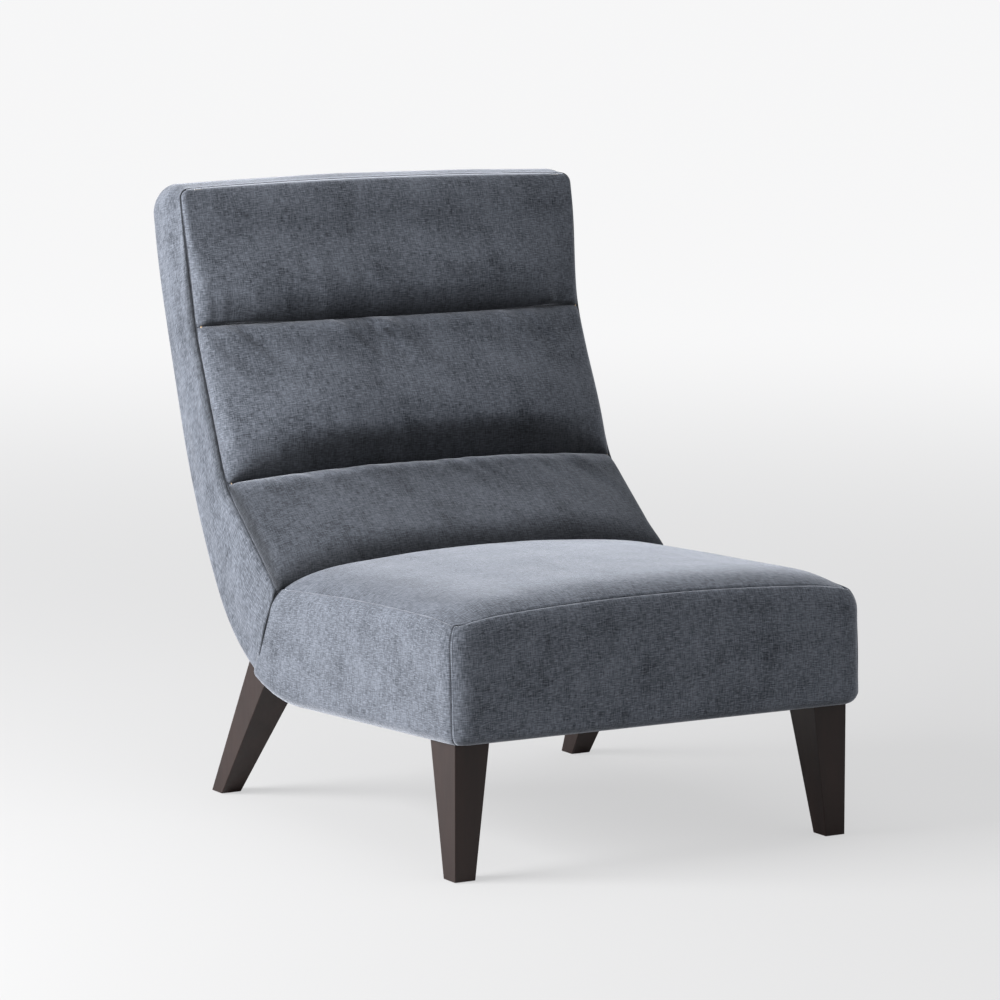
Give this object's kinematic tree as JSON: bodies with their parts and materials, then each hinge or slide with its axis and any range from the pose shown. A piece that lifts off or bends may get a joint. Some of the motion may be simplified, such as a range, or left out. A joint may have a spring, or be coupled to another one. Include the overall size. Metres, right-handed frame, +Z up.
{
  "type": "upholstered lounge chair",
  "caption": "Armless upholstered lounge chair with a tight crowned seat, a reclined back in padded horizontal channels and tapered dark wood legs.",
  "frame": {"origin": "on the floor, under the centre of the chair's bounding box", "axes": "+Z up, -Y towards the front of the seat, +X to the right of someone facing the chair"},
  "size_m": [0.686, 0.9482, 0.914],
  "materials": {
    "upholstery_cloth": "blue-grey woven velvet with a soft pile sheen",
    "leg_wood": "dark espresso stain under a satin lacquer",
    "frame_wood": "raw plywood and softwood",
    "foam": "cut upholstery foam and wadding",
    "felt": "pressed felt",
    "webbing": "elastic webbing",
    "zinc_steel": "zinc-plated steel",
    "nylon": "moulded nylon",
    "dust_cloth": "black spun non-woven cloth"
  },
  "bodies": {
    "root": {"back_border_cover": "upholstery_cloth", "back_side_pad_left": "foam", "back_side_pad_right": "foam", "back_webbing": "webbing", "base_rail": "frame_wood", "deck_felt": "felt", "dust_cover": "dust_cloth", "foot_glides": "nylon", "front_leg_block_left": "frame_wood", "front_leg_block_right": "frame_wood", "front_leg_left": "leg_wood", "front_leg_right": "leg_wood", "front_rail": "frame_wood", "leg_bolts": "zinc_steel", "lower_channel_cover": "upholstery_cloth", "lower_channel_foam": "foam", "lower_crease_rail": "frame_wood", "lumbar_rail": "frame_wood", "middle_channel_cover": "upholstery_cloth", "middle_channel_foam": "foam", "outside_back_cover": "upholstery_cloth", "outside_back_lining": "felt", "rear_leg_block_left": "frame_wood", "rear_leg_block_right": "frame_wood", "rear_leg_left": "leg_wood", "rear_leg_right": "leg_wood", "rear_seat_rail": "frame_wood", "seat_foam": "foam", "seat_front_cover": "upholstery_cloth", "seat_side_cover_left": "upholstery_cloth", "seat_side_cover_right": "upholstery_cloth", "seat_skirt_padding": "foam", "seat_springs": "zinc_steel", "seat_top_cover": "upholstery_cloth", "side_frame_left": "frame_wood", "side_frame_right": "frame_wood", "spring_clips": "zinc_steel", "tee_nuts": "zinc_steel", "top_rail": "frame_wood", "upper_channel_cover": "upholstery_cloth", "upper_channel_foam": "foam", "upper_crease_rail": "frame_wood"}
  },
  "joints": []
}
